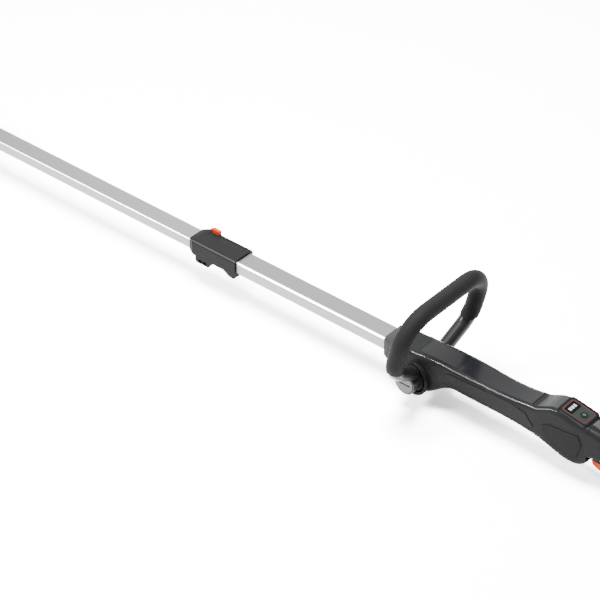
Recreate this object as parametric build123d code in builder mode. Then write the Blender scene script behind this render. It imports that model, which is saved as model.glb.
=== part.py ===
"""Pole hedge trimmer: battery handle, loop handle, telescopic pole and tilting cutter head.

Lengths are in millimetres. Every piece is drawn round the pole: X runs forward along the
pole axis, Y to the left, Z up, with the loop handle near X = -230. save() lifts the whole
tool so that its feet stand on Z = 0 and centres it fore and aft.
"""
import os
from math import cos, radians, sin

from build123d import *

# overall placing
floor_drop = 66.0  # pole axis above the floor
tip_front = 1352.0  # front face of the tip guard
battery_rear = -806.0  # rear face of the battery

# telescopic pole
outer_w, outer_h, outer_r = 35.3, 22.3, 5.0
tube_wall = 1.8
tube_gap = 0.3
bore_gap = 0.1  # across a bore that holds a tube fast
inner_w = outer_w - 2 * (tube_wall + tube_gap)
inner_h = outer_h - 2 * (tube_wall + tube_gap)
inner_r = 2.9
outer_rear, outer_front = -300.0, 160.0
inner_rear, inner_front = 50.0, 712.0

# collar at the front of the outer tube
collar_rear, collar_front = 110.0, 205.0
collar_wall = 3.1
collar_r = 4.6
lever_x, lever_y, lever_z = 160.0, -9.0, 12.7
cap_rear, cap_front = 172.6, 191.0
collar_screw_xs = (166.0, 181.0)

# loop handle
loop_x, loop_z = -233.9, -22.4
loop_lean = 12.5  # degrees from upright, leaning rearwards
loop_half = 90.0
loop_high = 145.0
loop_grip_r, loop_core_r = 13.0, 11.4
hub_r, hub_disc_r = 17.0, 14.3
seam_high = 57.0  # lower edge of the soft grip along the loop
bolt_r = 4.0
hub_in, hub_seat, hub_out = 31.0, 43.0, 46.8

# main handle: distance along the pole, width, top, bottom and corner radius of each section
shell_wall = 2.3
nose_sections = [(-175, 42, 16.5, -18, 6), (-188, 47, 19, -26, 8), (-207, 48.6, 19.6, -33, 9)]
chin_sections = [
    (-207, 49, 19.5, -31, 9),
    (-223, 49.5, 20.4, -44, 9),
    (-243, 48.5, 21.4, -47, 9),
    (-264, 47.5, 22.4, -36, 8),
    (-284, 47, 22.8, -21, 7),
    (-304, 47, 22.2, -14, 6),
]
waist_sections = [
    (-304, 47, 22.2, -14, 6),
    (-350, 44, 21.4, -16, 6),
    (-400, 41, 22.4, -19, 7),
    (-430, 41.5, 26.5, -21.5, 7),
]
bulge_sections = [
    (-430, 41.5, 26.5, -21.5, 7),
    (-455, 43, 35.5, -25.5, 7),
    (-478, 43.5, 41, -33, 8),
    (-498, 43, 37.7, -37.3, 8),
    (-513, 41.5, 35.2, -36, 8),
    (-526, 40, 33, -25, 8),
]
grip_sections = [
    (-526, 40, 33, -18, 9),
    (-556, 37, 28.5, -15, 10),
    (-600, 37, 23.5, -15.5, 10),
    (-644, 42, 22, -21, 10),
]

shell_screw_spots = [(-350, 2), (-392, 1), (-450, -13), (-510, 8)]
screw_seat = 17.5

# display
panel_slope = 9.5
panel_x, panel_z = -497.0, 38.2

# trigger
trigger_x, trigger_z = -548.0, -11.0

# battery and its dock
dock_front, dock_rear = -644.0, -792.0
dock_w = 88.0
battery_front = -686.0
battery_w = 82.0
battery_top = -1.5

# tilting head
pivot_x = 750.0
ear_in, ear_out = 12.0, 20.0
knuckle_screw_xs = (pivot_x - 64, pivot_x - 46)
tilt_lock_outline = [
    (-27.5, -3), (-27.5, 16.6), (-18, 16.6), (-18, 12), (-19.4, 9), (-19.4, 3),
    (-18.6, 1.5), (-18.6, -1.5), (-19.4, -3),
]
case_rear, case_front = 782.0, 896.0
case_middle = (case_rear + case_front) / 2
case_w = 86.0
case_top, case_floor = -20.0, -60.0
shell_top = 30.0
case_screw_spots = [(x, y) for x in (case_rear + 14, case_front - 14) for y in (-31, 31)]

# gear drive
tooth_module = 1.5
pinion_teeth, gear_teeth = 10, 40
motor_x = 812.5
gear_x = motor_x + tooth_module * (pinion_teeth + gear_teeth) / 2
cam_r, cam_throw = 7.0, 6.0

# blades
blade_rear = gear_x - 35
upper_z, lower_z, blade_thick = -52.0, -54.6, 2.0
tooth_pitch = 28.0
tooth_first = 920.0
tooth_count = 15
spine_half, tooth_half = 12.0, 31.0
hang_r = 5.0
blade_bolt_xs = [932.0 + 92.5 * i for i in range(5)]

tool_shift = -(tip_front + battery_rear) / 2


def save(piece, name):
    """Lift one finished piece to the floor frame and write its STEP file."""
    placed = piece.part.moved(Location((tool_shift, 0, floor_drop)))
    placed.label = name
    export_step(placed, f"parts/{name}.step")


def block(x0, x1, y0, y1, z0, z1, mode=Mode.ADD):
    """A box between two corners."""
    with Locations(((x0 + x1) / 2, (y0 + y1) / 2, (z0 + z1) / 2)):
        Box(abs(x1 - x0), abs(y1 - y0), abs(z1 - z0), mode=mode)


def rod_y(x, z, r, y0, y1, mode=Mode.ADD):
    """A round bar across the tool."""
    with BuildSketch(Plane.XZ.offset(-y0)) as disc:
        with Locations((x, z)):
            Circle(r)
    extrude(disc.sketch, amount=y0 - y1, mode=mode)


def rod_z(x, y, r, z0, z1, mode=Mode.ADD):
    """An upright round bar."""
    with BuildSketch(Plane.XY.offset(z0)) as disc:
        with Locations((x, y)):
            Circle(r)
    extrude(disc.sketch, amount=z1 - z0, mode=mode)


def rod_x(y, z, r, x0, x1, mode=Mode.ADD):
    """A round bar along the pole."""
    with BuildSketch(Plane.YZ.offset(x0)) as disc:
        with Locations((y, z)):
            Circle(r)
    extrude(disc.sketch, amount=x1 - x0, mode=mode)


def tube_bar(x0, x1, w, h, r, mode=Mode.ADD):
    """A bar of rounded rectangular section centred on the pole axis."""
    with BuildSketch(Plane.YZ.offset(x0)) as section:
        RectangleRounded(w, h, r)
    extrude(section.sketch, amount=x1 - x0, mode=mode)


def plan_slab(x0, x1, w, z0, z1, r, mode=Mode.ADD):
    """An upright slab whose outline seen from above is a rounded rectangle."""
    with BuildSketch(Plane.XY.offset(z0)) as outline:
        with Locations(((x0 + x1) / 2, 0)):
            RectangleRounded(x1 - x0, w, r)
    extrude(outline.sketch, amount=z1 - z0, mode=mode)


def side_plate(points, y0, y1, mode=Mode.ADD):
    """A plate whose outline seen from the side is a polygon."""
    with BuildSketch(Plane.XZ.offset(-y0)) as outline:
        with BuildLine():
            Polyline(*points, close=True)
        make_face()
    extrude(outline.sketch, amount=y0 - y1, mode=mode)


def skin(sections, inset=0.0):
    """Loft through handle sections, pulled in by inset all round."""
    faces = []
    for x, w, top, bottom, r in sections:
        with BuildSketch(Plane.YZ.offset(x)) as section:
            with Locations((0, (top + bottom) / 2)):
                RectangleRounded(w - 2 * inset, top - bottom - 2 * inset, max(r - inset, 1.0))
        faces.append(section.sketch.face())
    loft(faces)


def handle_form(inset=0.0):
    """The solid form of the handle from its chin to the rear end of the grip."""
    with BuildPart() as form:
        for sections in (chin_sections, waist_sections, bulge_sections, grip_sections):
            skin(sections, inset)
    return form.part


def coil(x, y, z0, z1, coil_r, wire_r, turns):
    """An upright compression spring."""
    with BuildPart() as spring:
        with BuildLine() as path:
            Helix(pitch=(z1 - z0) / turns, height=z1 - z0, radius=coil_r, center=(x, y, z0))
        with BuildSketch(Plane(origin=path.line @ 0, z_dir=path.line % 0)):
            Circle(wire_r)
        sweep(path=path.line)
    return spring


# ---------------------------------------------------------------- pole


def make_outer_tube():
    with BuildPart() as outer_tube:
        tube_bar(outer_rear, outer_front, outer_w, outer_h, outer_r)
        tube_bar(outer_rear, outer_front, outer_w - 2 * tube_wall, outer_h - 2 * tube_wall,
                 outer_r - tube_wall, Mode.SUBTRACT)
        # window for the brake shoe
        block(119.6, 134.4, lever_y - 4.4, lever_y + 4.4, 5, 14, Mode.SUBTRACT)
    save(outer_tube, "outer_tube")


def make_inner_tube():
    with BuildPart() as inner_tube:
        tube_bar(inner_rear, inner_front, inner_w, inner_h, inner_r)
        tube_bar(inner_rear, inner_front, inner_w - 2 * tube_wall, inner_h - 2 * tube_wall,
                 inner_r - tube_wall, Mode.SUBTRACT)
    save(inner_tube, "inner_tube")
    with BuildPart() as tube_end_plug:
        tube_bar(inner_rear - 2, inner_rear, inner_w, inner_h, inner_r)
        tube_bar(inner_rear, inner_rear + 14, inner_w - 2 * tube_wall, inner_h - 2 * tube_wall,
                 inner_r - tube_wall)
        tube_bar(inner_rear - 2, inner_rear + 14, inner_w - 12, inner_h - 10, 1, Mode.SUBTRACT)
    save(tube_end_plug, "tube_end_plug")


def make_collar():
    width = outer_w + 2 * collar_wall
    height = outer_h + 2 * collar_wall
    with BuildPart() as collar_housing:
        tube_bar(collar_rear, collar_front - 9, width, height, collar_r)
        with BuildSketch(Plane.YZ.offset(collar_front - 9)) as wide:
            RectangleRounded(width, height, collar_r)
        with BuildSketch(Plane.YZ.offset(collar_front)) as narrow:
            RectangleRounded(width - 9, height - 5, collar_r - 1)
        loft([wide.sketch.face(), narrow.sketch.face()])
        # boss of the two screws and the hooked skirt at the rear
        side_plate([(190, -10), (190, -19), (187, -22.3), (164, -22.3), (157, -11), (157, -10)],
                   -width / 2, width / 2)
        side_plate([(110, -10), (110, -16.5), (113.5, -19.2), (121.5, -18.6), (133.5, -12),
                    (133.5, -10)], -width / 2, width / 2)
        tube_bar(collar_rear, outer_front + 0.05, outer_w, outer_h, outer_r, Mode.SUBTRACT)
        tube_bar(outer_front, collar_front - 2, outer_w, outer_h, outer_r, Mode.SUBTRACT)
        tube_bar(collar_front - 3, collar_front, inner_w + 0.7, inner_h + 0.7, inner_r + 0.35,
                 Mode.SUBTRACT)
        # lever slot, wider under the cap
        block(118.6, 187.6, lever_y - 4.9, lever_y + 4.9, 9, 16, Mode.SUBTRACT)
        block(cap_rear - 0.8, 187.6, -width / 2 - 1, lever_y, 9, 16, Mode.SUBTRACT)
        # lever pin
        rod_y(lever_x, lever_z, 0.8, lever_y - 7.5, lever_y + 7.5, Mode.SUBTRACT)
        for x in collar_screw_xs:
            rod_z(x, 0, 1.8, -23, -10, Mode.SUBTRACT)
            rod_z(x, 0, 3.4, -23, -18.6, Mode.SUBTRACT)
        # recesses in both faces of the boss
        for side in (-1, 1):
            for x in (167, 176):
                block(x, x + 7, side * 18.4, side * 22, -20.4, -15, Mode.SUBTRACT)
    save(collar_housing, "collar_housing")

    with BuildPart() as guide_bush:
        tube_bar(outer_front + 0.3, collar_front - 2, outer_w, outer_h, outer_r)
        tube_bar(outer_front + 0.3, collar_front - 2, inner_w + 0.6, inner_h + 0.6,
                 inner_r + 0.3, Mode.SUBTRACT)
        block(outer_front, 188, lever_y - 4.9, lever_y + 4.9, 5, 16, Mode.SUBTRACT)
        block(cap_rear - 0.8, 188, -outer_w / 2 - 1, lever_y, 9, 16, Mode.SUBTRACT)
        for x in collar_screw_xs:
            rod_z(x, 0, 1.8, -12, -9, Mode.SUBTRACT)
    save(guide_bush, "guide_bush")

    with BuildPart() as collar_screws:
        for x in collar_screw_xs:
            rod_z(x, 0, 1.7, -18.6, -9.9)
            rod_z(x, 0, 3.2, -21, -18.6)
            rod_z(x, 0, 1.5, -21, -19.8, Mode.SUBTRACT)
    save(collar_screws, "collar_screws")

    with BuildPart() as lever_pin:
        rod_y(lever_x, lever_z, 0.8, lever_y - 7.5, lever_y + 7.5)
    save(lever_pin, "lever_pin")


def make_lock_lever():
    with BuildPart() as lock_lever:
        block(119.2, 187.0, lever_y - 4.5, lever_y + 4.5, 11.5, 14.0)
        block(cap_rear, 187.0, -outer_w / 2 - 2.2, lever_y, 11.5, 14.0)
        rod_y(lever_x, lever_z, 0.86, lever_y - 5, lever_y + 5, Mode.SUBTRACT)
    save(lock_lever, "lock_lever")

    with BuildPart() as lock_button:
        side_plate([(cap_rear, 14.0), (cap_rear, 19.8), (184.5, 20.6), (cap_front, 17.6),
                    (cap_front, 16.9), (186.5, 16.9), (186.5, 14.0)],
                   -outer_w / 2 - 2.8, -outer_w / 2 + 2.6)
    save(lock_button, "lock_button")

    with BuildPart() as lock_shoe:
        block(120.0, 134.0, lever_y - 4.0, lever_y + 4.0, 9.4, 11.5)
    save(lock_shoe, "lock_shoe")


# ---------------------------------------------------------------- main handle


def display_face():
    """The plane of the sloping display, with its X axis up the slope."""
    slope = radians(panel_slope)
    return Plane(origin=(panel_x, 0, panel_z), x_dir=(cos(slope), 0, sin(slope)),
                 z_dir=(-sin(slope), 0, cos(slope)))


def display_slab(half_long, half_wide, low, high, r=6.0, mode=Mode.ADD, middle=0.0):
    """A slab lying along the sloping display, between two heights off its face."""
    with BuildSketch(display_face().offset(low)) as outline:
        with Locations((middle, 0)):
            RectangleRounded(2 * half_long, 2 * half_wide, r)
    extrude(outline.sketch, amount=high - low, mode=mode)


def light_cell(step, low, high, mode):
    """One cell of the charge row, counted across the display."""
    with BuildSketch(display_face().offset(low)) as cell:
        with Locations((11, 5.4 * step)):
            RectangleRounded(5.2, 4.2, 0.8)
    extrude(cell.sketch, amount=high - low, mode=mode)


def ramp_layer(half_wide, gap, mode):
    """The layer under the sloping ramp in front of the display."""
    side_plate([(-438 - gap, 24.4 + gap), (-438 - gap, 60), (-472.4 + gap, 60),
                (-472.4 + gap, 37.0 + gap)], -half_wide, half_wide, mode)


def make_shells():
    with BuildPart() as shell:
        add(handle_form())
        # round boss and arch at the loop bolt
        rod_y(loop_x, loop_z, 19.5, -30.6, 30.6)
        with BuildSketch(Plane.XZ.offset(-30.4)) as arch:
            with Locations((loop_x, loop_z)):
                Circle(27)
                Circle(23, mode=Mode.SUBTRACT)
            with Locations((loop_x + 22, loop_z - 4)):
                Rectangle(44, 70, mode=Mode.SUBTRACT)
        extrude(arch.sketch, amount=60.8)
        add(handle_form(shell_wall), mode=Mode.SUBTRACT)
        rod_y(loop_x, loop_z, 7.5, -30.6, 30.6)
        rod_y(loop_x, loop_z, bolt_r + 0.05, -32, 32, Mode.SUBTRACT)
        tube_bar(-303.5, -170, outer_w + bore_gap, outer_h + bore_gap, outer_r, Mode.SUBTRACT)
        # pockets of the top panel, the ramp and the display
        block(-434, -236, -16.6, 16.6, 18.6, 60, Mode.SUBTRACT)
        ramp_layer(15.1, 0.0, Mode.SUBTRACT)
        display_slab(24.7, 18.6, -4.0, 30, 6, Mode.SUBTRACT)
        # cheeks beside the trigger, its slot, its pin and the lock-off slot
        block(-562, -536, -18.2, -8.6, -14.6, -3)
        block(-562, -536, 8.6, 18.2, -14.6, -3)
        block(-602, -526.4, -8.4, 8.4, -45, -2, Mode.SUBTRACT)
        block(-543, -523.5, -7.4, 7.4, 8, 60, Mode.SUBTRACT)
        rod_y(trigger_x, trigger_z, 2.05, -30, 30, Mode.SUBTRACT)
        for x, z in shell_screw_spots:
            rod_y(x, z, 4.6, -20.0, 20.0)
            rod_y(x, z, 1.55, -21, 14, Mode.SUBTRACT)
            rod_y(x, z, 3.1, -30, -screw_seat, Mode.SUBTRACT)
        # seat of the trigger spring
        block(-577.6, -570.5, -17.6, 17.6, -1.0, 1.5)
    with BuildPart() as handle_shell_left:
        add(shell.part)
        split(bisect_by=Plane.XZ.offset(-0.05), keep=Keep.BOTTOM)
    save(handle_shell_left, "handle_shell_left")
    with BuildPart() as handle_shell_right:
        add(shell.part)
        split(bisect_by=Plane.XZ.offset(0.05), keep=Keep.TOP)
    save(handle_shell_right, "handle_shell_right")


def make_handle_trim():
    with BuildPart() as nose_collar:
        skin(nose_sections)
        tube_bar(-210, -170, outer_w + bore_gap, outer_h + bore_gap, outer_r, Mode.SUBTRACT)
        for y in (-10, 10):
            rod_x(y, -18, 1.8, -200, -170, Mode.SUBTRACT)
    save(nose_collar, "nose_collar")

    with BuildPart() as top_trim:
        add(handle_form())
        block(-433.7, -236.3, -16.3, 16.3, 18.9, 60, Mode.INTERSECT)
    save(top_trim, "top_trim")

    with BuildPart() as ramp_trim:
        add(handle_form())
        ramp_layer(14.8, 0.3, Mode.INTERSECT)
    save(ramp_trim, "ramp_trim")

    with BuildPart() as shell_screws:
        for x, z in shell_screw_spots:
            rod_y(x, z, 2.9, -20.0, -screw_seat)
            rod_y(x, z, 1.5, -screw_seat, 12)
            rod_y(x, z, 1.3, -20.0, -18.8, Mode.SUBTRACT)
    save(shell_screws, "shell_screws")

    with BuildPart() as side_inlays:
        for side in (-1, 1):
            side_plate([(-286, 7), (-294, 12), (-400, 14), (-424, 9), (-438, -6), (-430, -11),
                        (-400, -9), (-300, -3)], side * 18.0, side * 27.0)
        add(handle_form(-0.8), mode=Mode.INTERSECT)
        add(handle_form(), mode=Mode.SUBTRACT)
    save(side_inlays, "side_inlays")

    with BuildPart() as grip_pads:
        for side in (-1, 1):
            side_plate([(-453, 5), (-462, 11), (-512, 16), (-518, 2), (-512, -20), (-500, -27),
                        (-478, -23), (-460, -14)], side * 18.0, side * 28.0)
        add(handle_form(-1.0), mode=Mode.INTERSECT)
        add(handle_form(), mode=Mode.SUBTRACT)
    save(grip_pads, "grip_pads")

    with BuildPart() as rear_grip:
        block(-644, -604, -30, 30, -40, 40)
        block(-606, -581, -30, 30, 2, 40)
        add(handle_form(-1.6), mode=Mode.INTERSECT)
        add(handle_form(), mode=Mode.SUBTRACT)
    save(rear_grip, "rear_grip")

    with BuildPart() as tube_clamp:
        block(-302, -292, -30, 30, -40, 40)
        block(-284, -274, -30, 30, -40, 40)
        add(handle_form(shell_wall), mode=Mode.INTERSECT)
        block(-310, -270, -30, 30, 18.4, 40, Mode.SUBTRACT)
        tube_bar(-310, -270, outer_w + bore_gap, outer_h + bore_gap, outer_r, Mode.SUBTRACT)
    save(tube_clamp, "tube_clamp")


def make_display_parts():
    with BuildPart() as display_bezel:
        display_slab(24.4, 18.3, -3.8, 1.2, 6)
        display_slab(21.2, 14.8, -1.6, 5, 5, Mode.SUBTRACT)
        display_slab(5.6, 5.6, -5, 5, 5.5, Mode.SUBTRACT, -9)
    save(display_bezel, "display_bezel")

    with BuildPart() as display_panel:
        display_slab(21.0, 14.6, -1.6, 0.9, 4.8)
        display_slab(5.6, 5.6, -5, 5, 5.5, Mode.SUBTRACT, -9)
        for step in (-1, 0, 1):
            light_cell(step, 0.2, 5, Mode.SUBTRACT)
    save(display_panel, "display_panel")

    with BuildPart() as charge_lights:
        for step in (-1, 0, 1):
            light_cell(step, 0.2, 1.0, Mode.ADD)
    save(charge_lights, "charge_lights")

    with BuildPart() as power_button:
        display_slab(5.2, 5.2, -2.6, 1.7, 5.1, Mode.ADD, -9)
        display_slab(3.8, 3.8, 1.2, 3, 3.7, Mode.SUBTRACT, -9)
        display_slab(3.0, 3.0, 0, 1.6, 2.9, Mode.ADD, -9)
    save(power_button, "power_button")

    with BuildPart() as lockoff_tab:
        side_plate([(-524, 14), (-524, 33.6), (-528, 36), (-538, 33.4), (-542.5, 28),
                    (-542.5, 14)], -7, 7)
    save(lockoff_tab, "lockoff_tab")


def make_trigger():
    with BuildPart() as trigger:
        with BuildSketch(Plane.XZ.offset(8)) as blade:
            with BuildLine():
                Polyline((-541, -7), (-528.5, -24), (-531, -31), (-541, -35.5))
                Spline((-541, -35.5), (-556, -33), (-573, -30.5), (-587, -34), (-595, -38))
                Polyline((-595, -38), (-599, -35), (-594, -20.5), (-576, -15), (-556, -7),
                         (-541, -7))
            make_face()
        extrude(blade.sketch, amount=-16)
        rod_y(trigger_x, trigger_z, 2.05, -10, 10, Mode.SUBTRACT)
        block(-585, -566, -3.2, 3.2, -24, 0, Mode.SUBTRACT)
    save(trigger, "trigger")

    with BuildPart() as trigger_pin:
        rod_y(trigger_x, trigger_z, 2.0, -16.8, 16.8)
    save(trigger_pin, "trigger_pin")
    save(coil(-574, 0, -23.5, -1.4, 2.2, 0.35, 7), "trigger_spring")

    with BuildPart() as trigger_switch:
        block(-598, -578, -7, 7, 0.5, 14)
        block(-592, -588, -2, 2, -1.5, 0.5)
    save(trigger_switch, "trigger_switch")


def make_loop():
    lean = radians(loop_lean)
    loop_plane = Plane(origin=(loop_x, 0, loop_z), x_dir=(0, 1, 0),
                       z_dir=(cos(lean), 0, sin(lean)))
    with BuildPart() as loop_core:
        with BuildLine(loop_plane) as core_path:
            loop_line()
        with BuildSketch(Plane(origin=core_path.line @ 0, z_dir=core_path.line % 0)):
            Circle(loop_core_r)
        sweep(path=core_path.line)
        for side in (-1, 1):
            rod_y(loop_x, loop_z, hub_r, side * hub_in, side * hub_out)
            rod_y(loop_x, loop_z, hub_disc_r + 0.3, side * hub_seat, side * 64, Mode.SUBTRACT)
        rod_y(loop_x, loop_z, bolt_r + 0.05, -62, 62, Mode.SUBTRACT)
        block(-300, -160, -hub_in, hub_in, -60, 30, Mode.SUBTRACT)
    save(loop_core, "loop_core")

    seam = Plane(origin=(loop_x - seam_high * sin(lean), 0, loop_z + seam_high * cos(lean)),
                 z_dir=(-sin(lean), 0, cos(lean)))
    with BuildPart() as loop_grip:
        with BuildLine(loop_plane) as grip_path:
            loop_line()
        with BuildSketch(Plane(origin=grip_path.line @ 0, z_dir=grip_path.line % 0)):
            Circle(loop_grip_r)
            Circle(loop_core_r, mode=Mode.SUBTRACT)
        sweep(path=grip_path.line)
        split(bisect_by=seam, keep=Keep.TOP)
    save(loop_grip, "loop_grip")

    with BuildPart() as loop_bolt:
        rod_y(loop_x, loop_z, bolt_r, -hub_seat - 3.2, hub_seat + 0.2)
        rod_y(loop_x, loop_z, hub_disc_r, hub_seat + 0.2, hub_out + 0.6)
        with BuildSketch(Plane.XZ.offset(-hub_out - 0.6)) as slot:
            with Locations((loop_x, loop_z)):
                Rectangle(20, 2.2)
        extrude(slot.sketch, amount=1.6, mode=Mode.SUBTRACT)
    save(loop_bolt, "loop_bolt")

    with BuildPart() as loop_nut:
        with BuildSketch(Plane.XZ.offset(hub_seat + 0.2)) as hexagon:
            with Locations((loop_x, loop_z)):
                RegularPolygon(9, 6)
                Circle(bolt_r, mode=Mode.SUBTRACT)
        extrude(hexagon.sketch, amount=5)
    save(loop_nut, "loop_nut")


def loop_line():
    """The loop's centre line, from the left hub round to the right one."""
    FilletPolyline((-36, 15), (-loop_half, 54), (-loop_half, loop_high), (loop_half, loop_high),
                   (loop_half, 54), (36, 15), radius=45)


# ---------------------------------------------------------------- battery and dock


def make_dock():
    half = dock_w / 2
    with BuildPart() as dock_housing:
        with BuildSketch(Plane.YZ.offset(dock_front)) as face:
            with Locations((0, -20.5)):
                RectangleRounded(56, 89, 12)
        with BuildSketch(Plane.YZ.offset(dock_front - 18)) as full_face:
            with Locations((0, -20.5)):
                RectangleRounded(dock_w, 91, 12)
        loft([face.sketch.face(), full_face.sketch.face()])
        extrude(full_face.sketch, amount=battery_front - dock_front + 19)
        plan_slab(dock_rear, battery_front + 10, dock_w, battery_top + 0.5, 22, 10)
        for side in (-1, 1):
            block(dock_rear + 6, battery_front + 8, side * (half - 2.6), side * half, -16, 2)
            block(dock_rear + 10, battery_front + 4, side * 38.6, side * (half - 2), -12, -8)
        # hollow behind the front wall for the terminals and the board
        block(battery_front + 4, dock_front - 12, -34, 34, -50, 12, Mode.SUBTRACT)
        block(battery_front - 1, battery_front + 5, -22, 22, -40, -16, Mode.SUBTRACT)
        block(dock_rear + 6, battery_front + 4, -34, 34, 2.5, 18, Mode.SUBTRACT)
    save(dock_housing, "dock_housing")

    with BuildPart() as terminal_block:
        block(battery_front + 1.2, battery_front + 11, -21.6, 21.6, -39.6, -16.4)
        for y in (-15, -5, 5, 15):
            block(battery_front + 0.9, battery_front + 7, y - 3, y + 3, -35, -21, Mode.SUBTRACT)
            block(battery_front + 2, battery_front + 9, y - 0.8, y + 0.8, -34, -22)
    save(terminal_block, "terminal_block")

    with BuildPart() as circuit_board:
        block(-672.5, -670.9, -30, 30, -46, 8)
        for z in (-36, -22, -4):
            block(-670.9, -664, -12, 12, z - 4, z + 4)
    save(circuit_board, "circuit_board")


def make_battery():
    half = battery_w / 2
    with BuildPart() as battery_case:
        plan_slab(battery_rear, battery_front, battery_w, -floor_drop, battery_top - 12.9, 9)
        block(battery_rear + 16, battery_front, -37.4, 37.4, battery_top - 13, battery_top)
        for side in (-1, 1):
            block(battery_rear + 20, battery_front, side * 38.2, side * half,
                  -7.4, battery_top)
            block(battery_rear + 20, battery_front, side * 37.3, side * 38.3,
                  -7.4, battery_top)
            # pockets of the release buttons
            block(battery_rear + 12, battery_rear + 38, side * (half - 7), side * (half + 1),
                  -40, -24, Mode.SUBTRACT)
        # contact slots
        for y in (-15, -5, 5, 15):
            block(battery_front - 12, battery_front + 1, y - 1.4, y + 1.4, -36, -20, Mode.SUBTRACT)
        # cooling grooves
        for i in range(6):
            x = battery_rear + 46 + 10 * i
            for side in (-1, 1):
                block(x, x + 4, side * (half - 1.2), side * (half + 1), -56, -24, Mode.SUBTRACT)
    save(battery_case, "battery_case")

    for side, name in ((1, "battery_button_left"), (-1, "battery_button_right")):
        with BuildPart() as battery_button:
            block(battery_rear + 12.4, battery_rear + 37.6, side * (half - 3.4),
                  side * (half + 1.6), -39.6, -24.4)
            for i in range(4):
                x = battery_rear + 16 + 5 * i
                block(x, x + 2, side * (half + 0.9), side * (half + 2), -38, -26, Mode.SUBTRACT)
        save(battery_button, name)


# ---------------------------------------------------------------- knuckle


def make_knuckle():
    for side, name in ((1, "knuckle_left"), (-1, "knuckle_right")):
        with BuildPart() as knuckle:
            tube_bar(pivot_x - 74, pivot_x - 28, 41, 31, 7)
            block(pivot_x - 40, pivot_x - 12, side * ear_in, side * ear_out, -15.5, 15.5)
            rod_y(pivot_x, 0, 19.5, side * ear_in, side * ear_out)
            tube_bar(pivot_x - 80, pivot_x, inner_w + bore_gap, inner_h + bore_gap, inner_r, Mode.SUBTRACT)
            rod_y(pivot_x, 0, 19.5, side * ear_in, side * ear_out)
            block(pivot_x - 40, pivot_x, 0, side * ear_in, -30, 30, Mode.SUBTRACT)
            block(pivot_x - 36, pivot_x - 28, side * 5, side * ear_in, -15.5, 15.5)
            rod_y(pivot_x, 0, 4.0, side * 5, side * 30, Mode.SUBTRACT)
            for x in knuckle_screw_xs:
                rod_y(x, 12.0, 1.7, -side, side * 22, Mode.SUBTRACT)
                rod_y(x, -12.0, 1.7, -side, side * 22, Mode.SUBTRACT)
            block(pivot_x - 120, pivot_x + 80, side * 0.05, -60 * side, -40, 40, Mode.SUBTRACT)
        save(knuckle, name)

    with BuildPart() as knuckle_screws:
        for x in knuckle_screw_xs:
            for z in (-12.0, 12.0):
                rod_y(x, z, 1.65, -17, 20.5)
                rod_y(x, z, 3.0, 20.5, 22.3)
                rod_y(x, z, 1.3, 21.5, 22.3, Mode.SUBTRACT)
    save(knuckle_screws, "knuckle_screws")

    with BuildPart() as pivot_pin:
        rod_y(pivot_x, 0, 4.0, -20.0, 21.0)
        rod_y(pivot_x, 0, 8.5, 20.0, 23.5)
        rod_y(pivot_x, 0, 8.5, -23.5, -20.0)
        rod_y(pivot_x, 0, 3.2, 22.0, 24.0, Mode.SUBTRACT)
    save(pivot_pin, "pivot_pin")

    with BuildPart() as tilt_lock:
        side_plate([(pivot_x + x, z) for x, z in tilt_lock_outline], -4.2, 4.2)
        block(pivot_x - 34, pivot_x - 12, -9, 9, 16.6, 20.0)
        for i in range(4):
            x = pivot_x - 32 + 5 * i
            block(x, x + 2, -9, 9, 20.0, 21.8)
    save(tilt_lock, "tilt_lock")


# ---------------------------------------------------------------- cutter head


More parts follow.
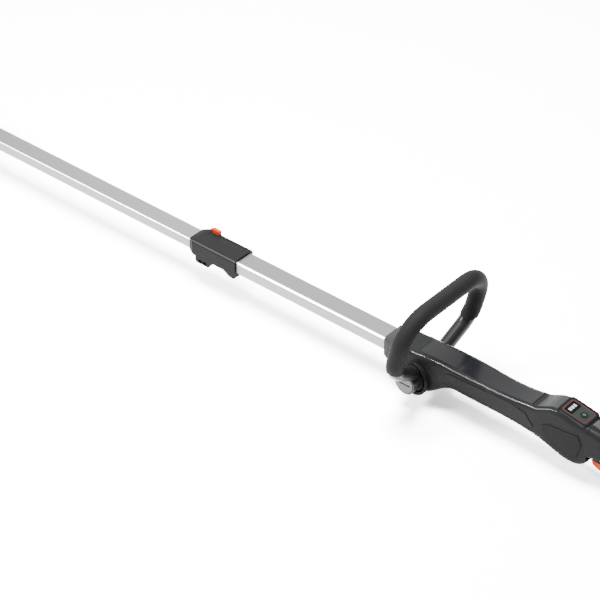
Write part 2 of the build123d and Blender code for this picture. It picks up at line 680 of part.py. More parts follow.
def make_head_frame():
    with BuildPart() as head_bracket:
        rod_y(pivot_x, 0, 14.0, -11.4, 11.4)
        side_plate([(pivot_x, 14), (pivot_x, -14), (pivot_x + 11, -30), (pivot_x + 15, -56),
                    (case_rear, -56), (case_rear, 10), (pivot_x + 15, 14)], -11.4, 11.4)
        block(case_rear - 7, case_rear, -17, 17, -56, -24)
        rod_y(pivot_x, 0, 4.06, -20, 20, Mode.SUBTRACT)
    save(head_bracket, "head_bracket")

    with BuildPart() as index_ring:
        with BuildSketch(Plane.XZ.offset(-4)) as ring:
            with Locations((pivot_x, 0)):
                Circle(18.2)
                Circle(14.05, mode=Mode.SUBTRACT)
                with PolarLocations(18.2, 24, start_angle=0):
                    Rectangle(4.4, 2.6, mode=Mode.SUBTRACT)
            with Locations((pivot_x + 20, 0)):
                Rectangle(40, 60, mode=Mode.SUBTRACT)
        extrude(ring.sketch, amount=8)
    save(index_ring, "index_ring")

    with BuildPart() as gear_case:
        plan_slab(case_rear, case_front, case_w, case_floor, case_top, 26)
        plan_slab(case_rear + 3, case_front - 3, case_w - 6, case_floor, case_top - 3, 23,
                  Mode.SUBTRACT)
        # shaft and pinion holes in the deck, blade opening at the front
        rod_z(motor_x, 0, 9.6, case_top - 4, case_top + 1, Mode.SUBTRACT)
        rod_z(gear_x, 0, 8.0, case_top - 4, case_top + 1, Mode.SUBTRACT)
        block(case_front - 12, case_front + 2, -14, 14, -57.5, -45.5, Mode.SUBTRACT)
        for x, y in case_screw_spots:
            rod_z(x, y, 4.2, case_floor, case_top - 2.5)
            rod_z(x, y, 1.8, case_floor - 1, case_floor + 12, Mode.SUBTRACT)
    save(gear_case, "gear_case")

    with BuildPart() as bottom_cover:
        plan_slab(case_rear, case_front, case_w, -floor_drop, case_floor, 26)
        plan_slab(case_rear + 5, case_front - 5, case_w - 10, -floor_drop - 1, -floor_drop + 1.6,
                  21, Mode.SUBTRACT)
        plan_slab(case_rear + 22, case_front - 22, 40, -floor_drop, -floor_drop + 3, 8)
        rod_z(gear_x, 0, 9.0, case_floor, case_floor + 1.2)
        rod_z(gear_x, 0, 8.0, case_floor - 3.6, case_floor + 2, Mode.SUBTRACT)
        for x, y in case_screw_spots:
            rod_z(x, y, 1.8, -floor_drop - 1, case_floor + 1, Mode.SUBTRACT)
            rod_z(x, y, 3.4, -floor_drop - 1, -floor_drop + 4.2, Mode.SUBTRACT)
    save(bottom_cover, "bottom_cover")

    with BuildPart() as case_screws:
        for x, y in case_screw_spots:
            rod_z(x, y, 1.75, -floor_drop + 3.8, case_floor + 10)
            rod_z(x, y, 3.2, -floor_drop + 2, -floor_drop + 4.2)
            rod_z(x, y, 1.4, -floor_drop + 1, -floor_drop + 3, Mode.SUBTRACT)
    save(case_screws, "case_screws")

    with BuildPart() as shaft_bearings:
        rod_z(gear_x, 0, 7.95, case_floor - 3.6, case_floor + 0.9)
        rod_z(gear_x, 0, 5.05, case_floor - 5, case_floor + 2, Mode.SUBTRACT)
        rod_z(gear_x, 0, 7.95, case_top - 3, case_top)
        rod_z(gear_x, 0, 5.05, case_top - 4, case_top + 1, Mode.SUBTRACT)
    save(shaft_bearings, "shaft_bearings")


def make_head_cover():
    with BuildPart() as head_cover:
        with BuildSketch(Plane.XY.offset(case_top)) as foot:
            with Locations((case_middle, 0)):
                RectangleRounded(case_front - case_rear - 1, case_w - 1, 25)
        with BuildSketch(Plane.XY.offset(shell_top - 12)) as waist:
            with Locations((case_middle - 3, 0)):
                RectangleRounded(case_front - case_rear - 10, case_w - 10, 24)
        loft([foot.sketch.face(), waist.sketch.face()])
        with BuildSketch(Plane.XY.offset(shell_top)) as crown:
            with Locations((case_middle - 6, 0)):
                RectangleRounded(case_front - case_rear - 34, case_w - 34, 20)
        loft([waist.sketch.face(), crown.sketch.face()])
        plan_slab(case_rear + 4, case_front - 14, case_w - 16, case_top - 1, shell_top - 11, 22,
                  Mode.SUBTRACT)
        rod_z(motor_x, 0, 24, shell_top - 14, shell_top - 3, Mode.SUBTRACT)
        # cooling slots on both sides
        for i in range(6):
            x = case_rear + 36 + 9 * i
            block(x, x + 4, -case_w / 2, case_w / 2, -8, 10, Mode.SUBTRACT)
    save(head_cover, "head_cover")

    with BuildPart() as blade_shield:
        with BuildSketch(Plane.XY.offset(-56)) as outline:
            with Locations((case_front + 3, 0)):
                Rectangle(5.6, 96)
        extrude(outline.sketch, amount=34)
        block(case_front, case_front + 8, -16, 16, -58, -44.5, Mode.SUBTRACT)
        block(case_front + 0.2, case_front + 18, 40, 48, -56, -40)
        block(case_front + 0.2, case_front + 18, -48, -40, -56, -40)
    save(blade_shield, "blade_shield")

    with BuildPart() as motor_can:
        rod_z(motor_x, 0, 22, case_top, shell_top - 4)
        rod_z(motor_x, 0, 20, case_top + 2, shell_top - 6, Mode.SUBTRACT)
        rod_z(motor_x, 0, 4.1, case_top - 1, shell_top, Mode.SUBTRACT)
        for angle in range(0, 360, 60):
            x = motor_x + 12.5 * cos(radians(angle))
            rod_z(x, 12.5 * sin(radians(angle)), 2.6, shell_top - 7, shell_top - 3, Mode.SUBTRACT)
    save(motor_can, "motor_can")


def gear_disc(x, y, teeth, phase, z0, z1):
    """A spur gear with straight-sided teeth and a little backlash."""
    pitch_r = tooth_module * teeth / 2
    root_r = pitch_r - 1.3 * tooth_module
    tip_r = pitch_r + 0.85 * tooth_module
    rod_z(x, y, root_r + 0.05, z0, z1)
    with BuildSketch(Plane.XY.offset(z0)) as crown:
        with Locations((x, y)):
            with PolarLocations(0, teeth, start_angle=phase):
                Polygon((root_r - 0.6, -1.15), (tip_r, -0.34), (tip_r, 0.34), (root_r - 0.6, 1.15),
                        align=None)
    extrude(crown.sketch, amount=z1 - z0)


def make_drive():
    with BuildPart() as motor_rotor:
        rod_z(motor_x, 0, 4.0, case_top - 14, shell_top - 3.6)
        rod_z(motor_x, 0, 15.0, case_top + 8, shell_top - 12)
        gear_disc(motor_x, 0, pinion_teeth, 18.0, case_top - 15, case_top - 6)
    save(motor_rotor, "motor_rotor")

    with BuildPart() as drive_gear:
        gear_disc(gear_x, 0, gear_teeth, 0.0, case_top - 14, case_top - 7)
        for angle in range(0, 360, 60):
            x = gear_x + 18 * cos(radians(angle))
            rod_z(x, 18 * sin(radians(angle)), 5, case_top - 15, case_top - 6, Mode.SUBTRACT)
        rod_z(gear_x, 0, 5.0, -62.5, case_top + 1)
        rod_z(gear_x, cam_throw, cam_r, -52.3, -44)
        rod_z(gear_x, -cam_throw, cam_r, -56.4, -52.3)
    save(drive_gear, "drive_gear")


def blade(offset, z_top):
    """One toothed blade; offset moves the teeth along the pole."""
    sweep_r = cam_throw + cam_r
    block(blade_rear, gear_x + 35, -24, 24, z_top - blade_thick, z_top)
    spine_front = tooth_first + tooth_pitch * (tooth_count - 1) + offset + 7.5
    block(gear_x + 30, spine_front, -spine_half, spine_half, z_top - blade_thick, z_top)
    with BuildSketch(Plane.XY.offset(z_top - blade_thick)) as teeth:
        for i in range(tooth_count):
            for side in (-1, 1):
                with Locations((tooth_first + tooth_pitch * i + offset, 0)):
                    Polygon((-7.5, side * (spine_half - 1)), (7.5, side * (spine_half - 1)),
                            (4.2, side * tooth_half), (-2.6, side * tooth_half), align=None)
    extrude(teeth.sketch, amount=blade_thick)
    with BuildSketch(Plane.XY.offset(z_top - blade_thick - 1)) as window:
        with Locations((gear_x, 0)):
            RectangleRounded(2 * (sweep_r + cam_throw + 0.5), 2 * (sweep_r + 0.5), 6)
        for x in blade_bolt_xs:
            with Locations((x, 0)):
                SlotOverall(2 * cam_throw + 7, 6.0)
    extrude(window.sketch, amount=blade_thick + 2, mode=Mode.SUBTRACT)


def make_blades():
    with BuildPart() as upper_blade:
        blade(0.0, upper_z + blade_thick)
    save(upper_blade, "upper_blade")
    with BuildPart() as lower_blade:
        blade(tooth_pitch / 2, lower_z + blade_thick)
    save(lower_blade, "lower_blade")

    with BuildPart() as blade_bar:
        plan_slab(case_front - 14, tip_front - 22, 20, -49.6, -46.4, 3)
        for x in blade_bolt_xs:
            rod_z(x, 0, 2.55, -50, -46, Mode.SUBTRACT)
    save(blade_bar, "blade_bar")

    with BuildPart() as blade_bolts:
        for x in blade_bolt_xs:
            rod_z(x, 0, 2.5, -55.2, -46.4)
            rod_z(x, 0, 5.5, -57.2, -55.0)
            with BuildSketch(Plane.XY.offset(-46.4)) as nut:
                with Locations((x, 0)):
                    RegularPolygon(4.6, 6)
            extrude(nut.sketch, amount=4)
    save(blade_bolts, "blade_bolts")

    with BuildPart() as tip_guard:
        with BuildSketch(Plane.XY.offset(-46.4)) as plate:
            with Locations((tip_front - 22, 0)):
                RectangleRounded(44, 34, 8)
        extrude(plate.sketch, amount=4)
        with BuildSketch(Plane.XY.offset(-58.4)) as nose:
            with Locations((tip_front - 5, 0)):
                RectangleRounded(10, 34, 4.9)
        extrude(nose.sketch, amount=12)
        rod_z(tip_front - 22, 0, hang_r, -50, -40, Mode.SUBTRACT)
    save(tip_guard, "tip_guard")


def main():
    os.makedirs("parts", exist_ok=True)
    make_outer_tube()
    make_inner_tube()
    make_collar()
    make_lock_lever()
    make_shells()
    make_handle_trim()
    make_display_parts()
    make_trigger()
    make_loop()
    make_dock()
    make_battery()
    make_knuckle()
    make_head_frame()
    make_head_cover()
    make_drive()
    make_blades()


main()
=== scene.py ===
"""Looks of the pole hedge trimmer: materials, trim pieces, floor, light and camera."""
from math import cos, radians, sin, sqrt

import bpy
import numpy as np
from mathutils import Matrix, Vector
from mathutils.bvhtree import BVHTree


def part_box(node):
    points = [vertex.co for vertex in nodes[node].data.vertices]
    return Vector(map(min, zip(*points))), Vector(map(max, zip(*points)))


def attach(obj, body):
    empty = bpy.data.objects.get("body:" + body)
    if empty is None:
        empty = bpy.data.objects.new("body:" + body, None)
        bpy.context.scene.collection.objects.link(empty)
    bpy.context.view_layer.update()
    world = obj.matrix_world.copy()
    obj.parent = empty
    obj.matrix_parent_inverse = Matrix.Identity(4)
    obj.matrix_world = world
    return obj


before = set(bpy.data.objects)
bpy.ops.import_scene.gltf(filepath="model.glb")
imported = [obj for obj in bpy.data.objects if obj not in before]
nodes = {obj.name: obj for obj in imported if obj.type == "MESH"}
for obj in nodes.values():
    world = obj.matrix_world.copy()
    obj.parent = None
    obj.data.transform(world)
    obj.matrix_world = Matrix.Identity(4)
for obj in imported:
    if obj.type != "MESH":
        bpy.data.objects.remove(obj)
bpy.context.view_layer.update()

# ------------------------------------------------------------------ places

pole_low, pole_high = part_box("outer_tube")
pole_z = (pole_low.z + pole_high.z) / 2
tube_round = 0.005  # outer corner radius; both tubes round their corners from the same centres
collar_low, collar_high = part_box("collar_housing")
collar_round = 0.0046
collar_gap = 0.110  # from the point that the handle sizes are counted from to the collar
ref_x = collar_low.x - collar_gap
panel_back, panel_rise = 0.497, 0.0382  # display centre, behind that point and above the pole
panel_centre = Vector((ref_x - panel_back, 0.0, pole_z + panel_rise))
panel_slope = radians(9.5)
pivot_low, pivot_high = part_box("loop_bolt")


# ------------------------------------------------------------------ shader maths


class Flow:
    """A socket that can be used in Python expressions; each operation adds a Math node."""

    def __init__(self, paint, socket):
        self.paint = paint
        self.socket = socket

    def _maths(self, operation, *values):
        return self.paint.add("ShaderNodeMath", {"operation": operation}, dict(enumerate(values)))

    def __add__(self, other):
        return self._maths("ADD", self, other)

    def __radd__(self, other):
        return self._maths("ADD", other, self)

    def __sub__(self, other):
        return self._maths("SUBTRACT", self, other)

    def __rsub__(self, other):
        return self._maths("SUBTRACT", other, self)

    def __mul__(self, other):
        return self._maths("MULTIPLY", self, other)

    def __rmul__(self, other):
        return self._maths("MULTIPLY", other, self)

    def __truediv__(self, other):
        return self._maths("DIVIDE", self, other)

    def __rtruediv__(self, other):
        return self._maths("DIVIDE", other, self)

    def __abs__(self):
        return self._maths("ABSOLUTE", self)

    def above(self, edge, soft):
        """0 below edge, 1 above edge + soft, smooth between."""
        return self.paint.add("ShaderNodeMapRange", {"interpolation_type": "SMOOTHSTEP"},
                              {"Value": self, "From Min": edge, "From Max": edge + soft})

    def at_least(self, other):
        return self._maths("MAXIMUM", self, other)

    def at_most(self, other):
        return self._maths("MINIMUM", self, other)

    def wave(self):
        return self._maths("SINE", self)

    def root(self):
        return self._maths("SQRT", self)


class Paint:
    """One material: its node tree, its shader and the few calls that fill it."""

    def __init__(self, name, **constants):
        self.material = bpy.data.materials.new(name)
        self.material.use_nodes = True
        self.tree = self.material.node_tree
        self.shader = self.tree.nodes["Principled BSDF"]
        for socket, value in constants.items():
            self.shader.inputs[socket.replace("_", " ")].default_value = value

    def add(self, kind, settings=None, inputs=None, output=0):
        """Adds a node, sets its settings first and then fills its sockets."""
        node = self.tree.nodes.new(kind)
        for key, value in (settings or {}).items():
            setattr(node, key, value)
        for key, value in (inputs or {}).items():
            self._fill(node.inputs[key], value)
        return Flow(self, node.outputs[output])

    def _fill(self, socket, value):
        """Links a flow to a socket, or sets the socket to a value."""
        if isinstance(value, Flow):
            self.tree.links.new(value.socket, socket)
        else:
            socket.default_value = value

    def feed(self, **links):
        """Fills sockets of the shader, named with _ for each space."""
        for socket, value in links.items():
            self._fill(self.shader.inputs[socket.replace("_", " ")], value)

    def place(self):
        """Object coordinates, in metres in the row frame."""
        object_output = 3
        return self.add("ShaderNodeTexCoord", output=object_output)

    def split(self, vector):
        """The X, Y and Z of a vector."""
        node = self.add("ShaderNodeSeparateXYZ", {}, {0: vector}).socket.node
        return [Flow(self, out) for out in node.outputs]

    def stretched(self, scale, turn=(0, 0, 0)):
        """Object coordinates, scaled per axis and turned."""
        return self.add("ShaderNodeMapping", {},
                        {"Vector": self.place(), "Scale": scale, "Rotation": turn})

    def noise(self, vector, scale, detail=3.0, rough=0.5):
        return self.add("ShaderNodeTexNoise", {},
                        {"Vector": vector, "Scale": scale, "Detail": detail, "Roughness": rough})

    def cells(self, vector, scale):
        """Distance from the nearest of many scattered points."""
        return self.add("ShaderNodeTexVoronoi", {"feature": "F1"},
                        {"Vector": vector, "Scale": scale})

    def mix(self, factor, one, two):
        """A colour between two colours."""
        one, two = ((*c, 1.0) if isinstance(c, tuple) else c for c in (one, two))
        factor_input, colour_a, colour_b, colour_output = 0, 6, 7, 2
        return self.add("ShaderNodeMix", {"data_type": "RGBA"},
                        {factor_input: factor, colour_a: one, colour_b: two}, colour_output)

    def upper_corners(self, high, rounding, edge, soft=0.02):
        """1 round the diagonal of the two upper corners of a bar along X, 0 on its flat sides."""
        _, y, z = self.split(self.place())
        side = abs(y) - (high.y - rounding)
        rise = z - (high.z - rounding)
        reach = (side * side + rise * rise).root()
        return ((side + rise) / reach * sqrt(0.5)).above(edge, soft)

    def bump(self, height, strength, distance):
        """A normal for a relief whose depth at strength 1 is distance metres."""
        return self.add("ShaderNodeBump", {},
                        {"Height": height, "Strength": strength, "Distance": distance})


# ------------------------------------------------------------------ finishes


def mould_marks(paint):
    """Slow flow shades and fine spark-eroded grain, which every moulded plastic shows."""
    place = paint.place()
    return paint.noise(place, 9.0, 4.0), paint.noise(place, 2600.0, 2.0)


def moulded_plastic(name, colour, rough=0.5, grain=0.10, worn=0.005, shine=0.012, polish=0.006):
    """Injection moulded plastic: grain, flow shades, rub marks and a slight polish."""
    paint = Paint(name, Specular_IOR_Level=shine, Coat_Weight=polish, Coat_Roughness=0.22)
    cloudy, fine = mould_marks(paint)
    streaks = paint.stretched((40, 900, 400), (0.2, 0.1, 0.5))
    rubbed = paint.noise(streaks, 1.0, 3.0).above(0.62, 0.06)
    paler = tuple(c + worn for c in colour)
    shade = paint.mix(cloudy, tuple(c * 0.86 for c in colour), tuple(c * 1.2 for c in colour))
    paint.feed(Base_Color=paint.mix(rubbed * 0.35, shade, paler),
               Roughness=rough + (cloudy - 0.5) * 0.16 + (fine - 0.5) * 0.10 - rubbed * 0.05,
               Normal=paint.bump(fine, grain, 0.00012))
    return paint.material


def collar_plastic():
    """The moulded collar: grained as the other plastics, with a painted highlight along its upper
    corners.
    """
    paint = Paint("collar_plastic", Specular_IOR_Level=0.012, Coat_Weight=0.006,
                  Coat_Roughness=0.22)
    cloudy, fine = mould_marks(paint)
    shade = paint.mix(cloudy, (0.0022, 0.00225, 0.0023), (0.0030, 0.00305, 0.0032))
    # Painted highlight: the base colour is lighter, and the surface smoother, round the two upper
    # corners.
    painted_corner_highlight = paint.upper_corners(collar_high, collar_round, 0.955, 0.03)
    paint.feed(Base_Color=paint.mix(painted_corner_highlight * 0.7, shade, (0.013, 0.013, 0.0132)),
               Roughness=0.5 + (cloudy - 0.5) * 0.16 + (fine - 0.5) * 0.10 - painted_corner_highlight * 0.15,
               Normal=paint.bump(fine, 0.10, 0.00012))
    return paint.material


def satin_tube(name, painted_top_shade):
    """Drawn and anodised aluminium: draw lines along the pole, scuffs, painted highlight on the
    upper corners and painted shade on the top.

    The second argument, from 0 to 1, is how far painted shade darkens the flat top against the
    sides.
    """
    paint = Paint(name, Metallic=1.0)
    lines = paint.noise(paint.stretched((2.2, 1500, 1500)), 1.0, 4.0, 0.6)
    haze = paint.noise(paint.stretched((3, 14, 14)), 1.0, 3.0)
    scratches = paint.stretched((30, 700, 700), (0, 0.12, 0.22))
    scuff = paint.noise(scratches, 1.0, 2.0).above(0.70, 0.05)
    shade = paint.mix(haze, (0.078, 0.079, 0.079), (0.092, 0.093, 0.092))
    shade = paint.mix(scuff * 0.5, shade, (0.115, 0.115, 0.115))
    # Painted shade: the flat top is darkened in the base colour.
    top = paint.split(paint.place())[2].above(pole_high.z - tube_round, 0.003)
    shade = paint.mix(top * painted_top_shade, shade, (0.030, 0.031, 0.031))
    # Painted highlight: the base colour turns near white round the two upper corners.
    painted_ridge_highlight = paint.upper_corners(pole_high, tube_round, 0.925)
    paint.feed(Base_Color=paint.mix(painted_ridge_highlight * 0.85, shade, (0.80, 0.80, 0.80)),
               Roughness=0.34 + lines * 0.12 + haze * 0.05 - scuff * 0.08,
               Normal=paint.bump(lines, 0.10, 0.00008))
    return paint.material


def gloss_black():
    """Polished black plastic with hair-fine wiping marks."""
    paint = Paint("gloss_black", Coat_Weight=0.04, Coat_Roughness=0.12, Specular_IOR_Level=0.02)
    strokes = paint.stretched((60, 1600, 900), (0.1, 0.0, 0.7))
    wipe = paint.noise(strokes, 1.0, 2.0).above(0.64, 0.05)
    haze = paint.noise(paint.place(), 14.0, 4.0)
    dark, light = (0.0012, 0.00125, 0.0015), (0.0017, 0.00175, 0.0020)
    paint.feed(Base_Color=paint.mix(haze, dark, light),
               Roughness=0.24 + haze * 0.10 + wipe * 0.08,
               Normal=paint.bump(paint.noise(paint.place(), 240.0), 0.03, 0.0002))
    return paint.material


def soft_rubber():
    """Soft-touch overmould with small raised dots."""
    paint = Paint("soft_rubber", Specular_IOR_Level=0.02)
    dots = paint.cells(paint.place(), 620.0).above(0.25, 0.35)
    haze = paint.noise(paint.place(), 16.0, 4.0)
    paint.feed(Base_Color=paint.mix(haze, (0.0022, 0.00225, 0.0023), (0.0032, 0.00325, 0.0033)),
               Roughness=0.60 + haze * 0.14 + dots * 0.05,
               Normal=paint.bump(1 - dots, 0.16, 0.00018))
    return paint.material


def plain_rubber():
    """Dense black rubber with a dusty bloom."""
    paint = Paint("plain_rubber")
    haze = paint.noise(paint.place(), 60.0, 4.0)
    paint.feed(Base_Color=paint.mix(haze, (0.0018, 0.0018, 0.0019), (0.0036, 0.0036, 0.0036)),
               Roughness=0.7 + haze * 0.15,
               Normal=paint.bump(paint.noise(paint.place(), 1400.0), 0.2, 0.0001))
    return paint.material


def ground_steel(name, colour, along=(900, 40, 900), rough=0.26, rust=0.0):
    """Ground steel: fine lines, stains and, where rust is set, rust spots."""
    paint = Paint(name, Metallic=1.0)
    lines = paint.noise(paint.stretched(along), 1.0, 4.0, 0.65)
    stain = paint.noise(paint.place(), 22.0, 5.0)
    dark = tuple(c * 0.70 for c in colour)
    shade = paint.mix(stain.above(0.42, 0.3), dark, colour)
    spots = paint.noise(paint.place(), 160.0, 4.0).above(0.66, 0.08) * rust
    paint.feed(Base_Color=paint.mix(spots, shade, (0.060, 0.024, 0.010)),
               Roughness=rough + lines * 0.16 + stain * 0.08 + spots * 0.3,
               Normal=paint.bump(lines, 0.14, 0.00008))
    return paint.material


def cast_alloy():
    """Shot-blasted die casting."""
    paint = Paint("cast_alloy", Metallic=1.0)
    pits = paint.noise(paint.place(), 900.0, 3.0)
    haze = paint.noise(paint.place(), 18.0, 5.0)
    paint.feed(Base_Color=paint.mix(haze, (0.052, 0.054, 0.056), (0.080, 0.081, 0.083)),
               Roughness=0.46 + haze * 0.12 + pits * 0.08,
               Normal=paint.bump(pits, 0.25, 0.0002))
    return paint.material


def turned_zinc(centre):
    """Zinc-plated turned metal: rings round a crosswise bolt."""
    paint = Paint("turned_zinc_y", Metallic=1.0)
    x, _, z = paint.split(paint.place())
    along, rise = x - centre.x, z - centre.z
    radius = (along * along + rise * rise).root()
    rings = (radius * 9000.0).wave() * 0.5 + 0.5
    haze = paint.noise(paint.place(), 90.0, 4.0)
    paint.feed(Base_Color=paint.mix(haze, (0.018, 0.018, 0.0185), (0.027, 0.027, 0.0275)),
               Roughness=0.30 + rings * 0.10 + haze * 0.10,
               Normal=paint.bump(rings, 0.10, 0.00008))
    return paint.material


def display_film():
    """Glossy display film: dark window at the front, thin red line round the edge.

    edge is how far a point lies outside the rectangle line_half, so that a line at one value
    of it runs round with rounded corners.
    """
    line_half = (0.0160, 0.0098)
    line_start, line_stop, window_stop, blur = 0.0026, 0.0033, 0.0018, 0.0003
    paint = Paint("display_film", Coat_Weight=0.05, Coat_Roughness=0.08,
                  Specular_IOR_Level=0.02)
    x, y, z = paint.split(paint.place())
    along = (x - panel_centre.x) * cos(panel_slope) + (z - panel_centre.z) * sin(panel_slope)
    long_over = (abs(along) - line_half[0]).at_least(0.0)
    wide_over = (abs(y) - line_half[1]).at_least(0.0)
    edge = (long_over * long_over + wide_over * wide_over).root()
    line = edge.above(line_start, blur) * (1 - edge.above(line_stop, blur))
    window = along.above(0.0035, 0.0005) * (1 - edge.above(window_stop, blur))
    haze = paint.noise(paint.place(), 60.0, 3.0)
    base = paint.mix(haze, (0.0040, 0.0054, 0.0049), (0.0052, 0.0070, 0.0063))
    base = paint.mix(window, base, (0.0006, 0.0006, 0.0006))
    paint.feed(Base_Color=paint.mix(line, base, (0.034, 0.0018, 0.0036)),
               Roughness=0.16 + haze * 0.10,
               Normal=paint.bump(paint.noise(paint.place(), 900.0), 0.03, 0.0001))
    return paint.material


def lit_cells():
    """Translucent light cells, faintly lit and mottled."""
    paint = Paint("lit_cells", Emission_Strength=1.2)
    haze = paint.noise(paint.place(), 700.0, 2.0)
    glow = paint.mix(haze, (0.060, 0.064, 0.064), (0.090, 0.094, 0.094))
    paint.feed(Base_Color=glow, Emission_Color=glow, Roughness=0.25 + haze * 0.1)
    return paint.material


def button_face():
    """Black button with a thin ring and a short bar, the common on/off sign."""
    paint = Paint("button_face", Coat_Weight=0.05, Coat_Roughness=0.1, Specular_IOR_Level=0.02)
    low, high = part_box("power_button")
    ring_inside, ring_outside, bar_start, bar_stop = 0.0013, 0.0018, 0.0004, 0.0019
    gap_half, bar_half = 0.0005, 0.0002
    blur, fine_blur = 0.0002, 0.0001
    x, y, _ = paint.split(paint.place())
    along = x - (low.x + high.x) / 2
    radius = (along * along + y * y).root()
    ring = radius.above(ring_inside, blur) * (1 - radius.above(ring_outside, blur))
    gap = (1 - abs(y).above(gap_half, fine_blur)) * along.above(0.0, blur)
    bar = (1 - abs(y).above(bar_half, fine_blur)) * along.above(bar_start, blur) * (
        1 - along.above(bar_stop, blur))
    sign = (ring * (1 - gap) + bar).at_most(1.0)
    haze = paint.noise(paint.place(), 90.0)
    paint.feed(Base_Color=paint.mix(sign, (0.0026, 0.0037, 0.0034), (0.038, 0.041, 0.041)),
               Roughness=0.22 + haze * 0.12)
    return paint.material


def board_green():
    """Solder mask over tracks."""
    paint = Paint("board_green", Coat_Weight=0.3)
    _, y, z = paint.split(paint.place())
    tracks = (y * 900.0).wave().above(0.75, 0.1) * (z * 300.0).wave().above(-0.2, 0.1)
    haze = paint.noise(paint.place(), 120.0)
    paint.feed(Base_Color=paint.mix(tracks * 0.6, (0.005, 0.034, 0.015), (0.017, 0.085, 0.034)),
               Roughness=0.3 + haze * 0.15)
    return paint.material


def wear_all():
    """Gives every CAD node its finish."""
    # The outer tube gets more painted shade on its flat top than the inner tube.
    outer = satin_tube("outer_satin", 0.42)
    inner = satin_tube("inner_satin", 0.10)
    dark = moulded_plastic("dark_plastic", (0.0027, 0.00275, 0.00285))
    core = moulded_plastic("core_plastic", (0.0034, 0.0035, 0.0036), rough=0.32, grain=0.05,
                           worn=0.004, shine=0.06)
    grey = moulded_plastic("grey_plastic", (0.0074, 0.0076, 0.0078), rough=0.44)
    inlay = moulded_plastic("inlay_plastic", (0.0031, 0.0032, 0.0033), rough=0.36, grain=0.05)
    tab = moulded_plastic("tab_plastic", (0.013, 0.0133, 0.0136), rough=0.44)
    orange = moulded_plastic("orange_plastic", (0.150, 0.0095, 0.0), rough=0.42, grain=0.06,
                             worn=0.001, shine=0.010, polish=0.001)
    pack = moulded_plastic("pack_plastic", (0.0032, 0.0033, 0.0035), rough=0.48)
    steel = ground_steel("ground_steel", (0.110, 0.110, 0.114))
    blade = ground_steel("blade_steel", (0.150, 0.150, 0.154), along=(60, 1400, 200),
                         rough=0.24, rust=0.35)
    rubber = soft_rubber()
    black = gloss_black()
    alloy = cast_alloy()
    bolt = turned_zinc((pivot_low + pivot_high) / 2)
    zinc = ground_steel("zinc_screws", (0.115, 0.115, 0.115), along=(700, 700, 700), rough=0.34)
    finish = {
        outer: ["outer_tube"],
        inner: ["inner_tube"],
        collar_plastic(): ["collar_housing"],
        grey: ["nose_collar", "ramp_trim"],
        inlay: ["side_inlays"],
        core: ["loop_core"],
        tab: ["lockoff_tab"],
        orange: ["lock_button", "trigger", "battery_button_left", "battery_button_right",
                 "tilt_lock"],
        pack: ["battery_case"],
        steel: ["lever_pin", "trigger_pin", "trigger_spring", "pivot_pin", "index_ring",
                "shaft_bearings", "motor_can", "motor_rotor", "drive_gear", "blade_bar"],
        blade: ["upper_blade", "lower_blade"],
        rubber: ["grip_pads", "rear_grip", "loop_grip"],
        black: ["top_trim", "display_bezel"],
        alloy: ["head_bracket", "gear_case"],
        bolt: ["loop_bolt", "loop_nut"],
        zinc: ["collar_screws", "shell_screws", "knuckle_screws", "case_screws", "blade_bolts"],
        display_film(): ["display_panel"],
        lit_cells(): ["charge_lights"],
        button_face(): ["power_button"],
        board_green(): ["circuit_board"],
        plain_rubber(): ["lock_shoe"],
    }
    worn = {name: material for material, names in finish.items() for name in names}
    for name, node in nodes.items():
        node.data.materials.clear()
        node.data.materials.append(worn.get(name, dark))


# ------------------------------------------------------------------ trim pieces


def swept(name, path, radii, side, material):
    """A closed round bead along a path, riding the handle.

    Point (i, j) = path[i] + radii[i] * (cos(t_j) * a + sin(t_j) * b[i]), with t_j = 2 pi j / 12,
    a the outward diagonal (0, side, 1) / sqrt 2 and b[i] = tangent[i] x a. Each end is closed
    on its path point.
    """
    count = 12
    tangent = np.gradient(path, axis=0)
    tangent /= np.linalg.norm(tangent, axis=1)[:, None]
    out = np.array([0.0, side, 1.0]) / np.sqrt(2.0)
    across = np.cross(tangent, out)
    turn = 2 * np.pi * np.arange(count) / count
    rings = path[:, None, :] + radii[:, None, None] * (
        np.cos(turn)[None, :, None] * out + np.sin(turn)[None, :, None] * across[:, None, :])
    verts = np.concatenate([rings.reshape(-1, 3), path[:1], path[-1:]])
    first, last = len(verts) - 2, len(verts) - 1
    faces = []
    for i in range(len(path) - 1):
        for j in range(count):
            k = (j + 1) % count
            faces.append((i * count + j, i * count + k, (i + 1) * count + k, (i + 1) * count + j))
    base = (len(path) - 1) * count
    for j in range(count):
        k = (j + 1) % count
        faces.append((k, j, first))
        faces.append((base + j, base + k, last))
    mesh = bpy.data.meshes.new(name)
    mesh.from_pydata(verts.tolist(), [], faces)
    mesh.polygons.foreach_set("use_smooth", [True] * len(faces))
    mesh.materials.append(material)
    piece = bpy.data.objects.new(name, mesh)
    bpy.context.scene.collection.objects.link(piece)
    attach(piece, "handle")


def shell_edge(side, start, stop):
    """Points of the handle's upper edge on one side, found on the shell itself.

    At each X, rays come in along the diagonal (0, side, 1) from side by side starts; the point
    is the hit that lies furthest out along that diagonal.
    """
    step, ray_gap, ray_start = 0.003, 0.0005, 0.12
    sweep = np.arange(-0.020, 0.036, ray_gap)
    shell = nodes["handle_shell_left" if side > 0 else "handle_shell_right"]
    tree = BVHTree.FromPolygons([v.co for v in shell.data.vertices],
                                [tuple(p.vertices) for p in shell.data.polygons])
    out = Vector((0, side, 1)).normalized()
    along = Vector((0, -side, 1)).normalized()
    points = []
    for x in np.arange(start, stop, -step):
        best = None
        for shift in sweep:
            origin = Vector((x, 0, pole_z)) + out * ray_start + along * shift
            hit = tree.ray_cast(origin, -out)[0]
            if hit is not None and (best is None or hit.dot(out) > best.dot(out)):
                best = hit
        points.append(best)
    return np.array(points)


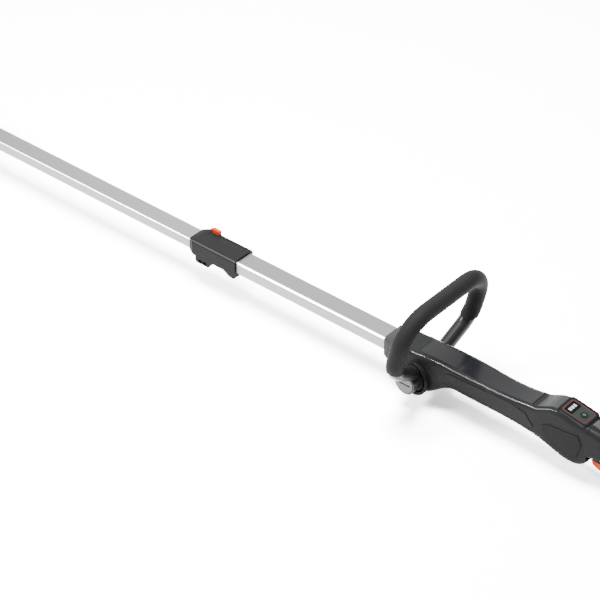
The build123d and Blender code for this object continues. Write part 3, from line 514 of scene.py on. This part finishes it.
def edge_beads():
    """Thin polished beads along both upper edges of the handle, in a short and a long piece."""
    radius, thinnest, taper_rate = 0.00085, 0.35, 12.0
    stretches = {"front": (-0.224, -0.2525), "rear": (-0.2555, -0.476)}
    material = moulded_plastic("bead_plastic", (0.006, 0.006, 0.0062), rough=0.2, grain=0.02,
                               worn=0.004, shine=0.12, polish=0.40)
    for side, word in ((1, "left"), (-1, "right")):
        for piece, (start, stop) in stretches.items():
            path = shell_edge(side, ref_x + start, ref_x + stop)
            for axis in (1, 2):
                path[1:-1, axis] = (path[:-2, axis] + path[1:-1, axis] + path[2:, axis]) / 3
            place = np.linspace(0.0, 1.0, len(path))
            taper = np.clip(np.minimum(place, 1.0 - place) * taper_rate, thinnest, 1.0)
            swept(f"edge_bead_{word}_{piece}", path, radius * taper, side, material)


# ------------------------------------------------------------------ studio


def floor_material():
    """Bright plain floor that glows a little, as a lit sweep does."""
    paint = Paint("pale_floor", Specular_IOR_Level=0.0, Emission_Strength=0.5)
    haze = paint.noise(paint.place(), 1.5, 2.0)
    paint.feed(Base_Color=paint.mix(haze, (0.95, 0.95, 0.95), (0.96, 0.96, 0.96)),
               Emission_Color=paint.mix(haze, (0.98, 0.98, 0.98), (1.0, 1.0, 1.0)),
               Roughness=0.8 + haze * 0.05)
    return paint.material


def studio():
    """Floor, even white surroundings and three softboxes."""
    reach, glow = 14.0, 0.9
    mesh = bpy.data.meshes.new("floor")
    mesh.from_pydata([(-reach, -reach, 0), (reach, -reach, 0), (reach, reach, 0),
                      (-reach, reach, 0)], [], [(0, 1, 2, 3)])
    mesh.materials.append(floor_material())
    floor = bpy.data.objects.new("floor", mesh)
    bpy.context.scene.collection.objects.link(floor)
    world = bpy.data.worlds.new("studio")
    world.use_nodes = True
    background = world.node_tree.nodes["Background"].inputs
    background["Color"].default_value = (1, 1, 1, 1)
    background["Strength"].default_value = glow
    bpy.context.scene.world = world
    softbox("top_box", offset=(0.05, 0.20, 2.4), size=1.1, power=850)
    softbox("edge_box", offset=(1.25, 1.45, 1.46), size=0.5, power=250)
    softbox("back_box", offset=(1.24, -1.46, 1.45), size=2.0, power=120)


def softbox(name, offset, size, power):
    """A square area light aimed at the pole, ahead of the handle; offset is from its aim."""
    aim_back = 0.1
    light = bpy.data.lights.new(name, "AREA")
    light.size = size
    light.energy = power
    lamp = bpy.data.objects.new(name, light)
    aim = Vector((ref_x - aim_back, 0, pole_z))
    lamp.location = aim + Vector(offset)
    lamp.rotation_mode = "QUATERNION"
    lamp.rotation_quaternion = Vector(offset).to_track_quat("Z", "Y")
    bpy.context.scene.collection.objects.link(lamp)


def camera():
    """A long lens looking down on the pole from its left and rear."""
    turn, lift = radians(40.379), radians(37.097)
    distance, aim_drop = 3.6262, 0.01163
    back = Vector((-sin(turn) * cos(lift), cos(turn) * cos(lift), sin(lift)))
    right = Vector((-cos(turn), -sin(turn), 0))
    up = back.cross(right)
    data = bpy.data.cameras.new("camera")
    data.sensor_width = 36.0
    data.lens = 147.95
    data.clip_start, data.clip_end = 0.05, 60.0
    cam = bpy.data.objects.new("camera", data)
    turned = Matrix((right, up, back)).transposed().to_4x4()
    aim = Vector((ref_x, 0, pole_z)) - aim_drop * up
    cam.matrix_world = Matrix.Translation(aim + back * distance) @ turned
    bpy.context.scene.collection.objects.link(cam)
    bpy.context.scene.camera = cam


wear_all()
edge_beads()
studio()
camera()
